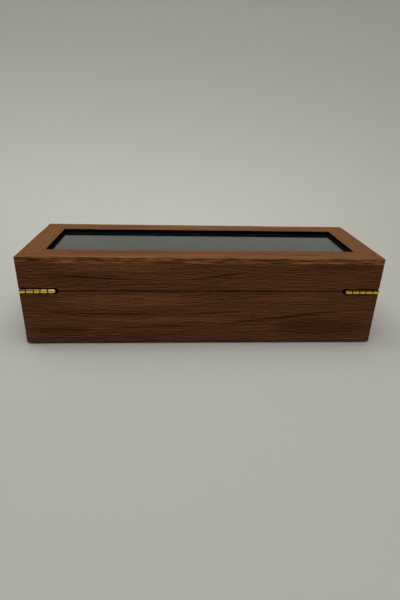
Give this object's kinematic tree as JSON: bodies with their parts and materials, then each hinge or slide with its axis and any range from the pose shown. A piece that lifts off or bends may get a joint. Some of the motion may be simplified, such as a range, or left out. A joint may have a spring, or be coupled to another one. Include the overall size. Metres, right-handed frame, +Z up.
{
  "type": "pocket watch display box",
  "caption": "Long walnut-veneered box with a velvet-lined tray of watch pads under a hinged lid with a glass window.",
  "frame": {"origin": "centre of the felt underside that the box stands on", "axes": "+X runs along the front to the right, +Y towards the hinges at the back, +Z up"},
  "size_m": [0.32, 0.1145, 0.084],
  "materials": {
    "walnut_veneer": "satin-lacquered walnut veneer, grain along the box",
    "walnut_frame": "satin-lacquered walnut veneer, black inner edges",
    "plywood": "raw board",
    "black_felt": "short felt",
    "black_velvet": "velvet-covered board",
    "velvet_pad": "velvet over foam",
    "window_glass": "clear, polished",
    "brass": "polished",
    "screw_brass": "polished",
    "magnet": "nickel-plated"
  },
  "bodies": {
    "base": {"base_front": "walnut_veneer", "base_back": "walnut_veneer", "base_left": "walnut_veneer", "base_right": "walnut_veneer", "bottom_panel": "plywood", "bottom_felt": "black_felt", "floor_lining": "black_velvet", "lining_front": "black_velvet", "lining_back": "black_velvet", "lining_left": "black_velvet", "lining_right": "black_velvet", "divider_1": "black_velvet", "divider_2": "black_velvet", "divider_3": "black_velvet", "base_magnets": "magnet", "hinge_left_base_leaf": "brass", "hinge_left_pin": "brass", "hinge_left_base_screws": "screw_brass", "hinge_right_base_leaf": "brass", "hinge_right_pin": "brass", "hinge_right_base_screws": "screw_brass"},
    "lid": {"lid_front": "walnut_veneer", "lid_back": "walnut_veneer", "lid_left": "walnut_veneer", "lid_right": "walnut_veneer", "frame_front": "walnut_frame", "frame_back": "walnut_frame", "frame_left": "walnut_frame", "frame_right": "walnut_frame", "window_glass": "window_glass", "retainer_front": "black_velvet", "retainer_back": "black_velvet", "retainer_left": "black_velvet", "retainer_right": "black_velvet", "lid_lining_front": "black_velvet", "lid_lining_back": "black_velvet", "lid_lining_left": "black_velvet", "lid_lining_right": "black_velvet", "lid_magnets": "magnet", "hinge_left_lid_leaf": "brass", "hinge_left_lid_screws": "screw_brass", "hinge_right_lid_leaf": "brass", "hinge_right_lid_screws": "screw_brass"},
    "stay_left": {"hinge_left_stay": "brass"},
    "stay_right": {"hinge_right_stay": "brass"},
    "pad_1": {"watch_pad_1": "velvet_pad"},
    "pad_2": {"watch_pad_2": "velvet_pad"},
    "pad_3": {"watch_pad_3": "velvet_pad"},
    "pad_4": {"watch_pad_4": "velvet_pad"}
  },
  "joints": [
    {"name": "lid_hinge", "type": "hinge", "parent": "base", "child": "lid", "pos_m": [0, 0.0565, 0.0532], "axis": [-1, 0, 0], "range_deg": [0, 95]},
    {"name": "stay_left_swing", "type": "hinge", "parent": "base", "child": "stay_left", "pos_m": [0, 0.0565, 0.0532], "axis": [-1, 0, 0], "range_deg": [0, 48]},
    {"name": "stay_right_swing", "type": "hinge", "parent": "base", "child": "stay_right", "pos_m": [0, 0.0565, 0.0532], "axis": [-1, 0, 0], "range_deg": [0, 48]},
    {"name": "pad_1_lift", "type": "slide", "parent": "base", "child": "pad_1", "axis": [0, 0, 1], "range_m": [0, 0.03]},
    {"name": "pad_2_lift", "type": "slide", "parent": "base", "child": "pad_2", "axis": [0, 0, 1], "range_m": [0, 0.03]},
    {"name": "pad_3_lift", "type": "slide", "parent": "base", "child": "pad_3", "axis": [0, 0, 1], "range_m": [0, 0.03]},
    {"name": "pad_4_lift", "type": "slide", "parent": "base", "child": "pad_4", "axis": [0, 0, 1], "range_m": [0, 0.03]}
  ],
  "couplings": [
    {"joint": "stay_left_swing", "follows": "lid_hinge", "ratio": 0.5},
    {"joint": "stay_right_swing", "follows": "lid_hinge", "ratio": 0.5}
  ]
}
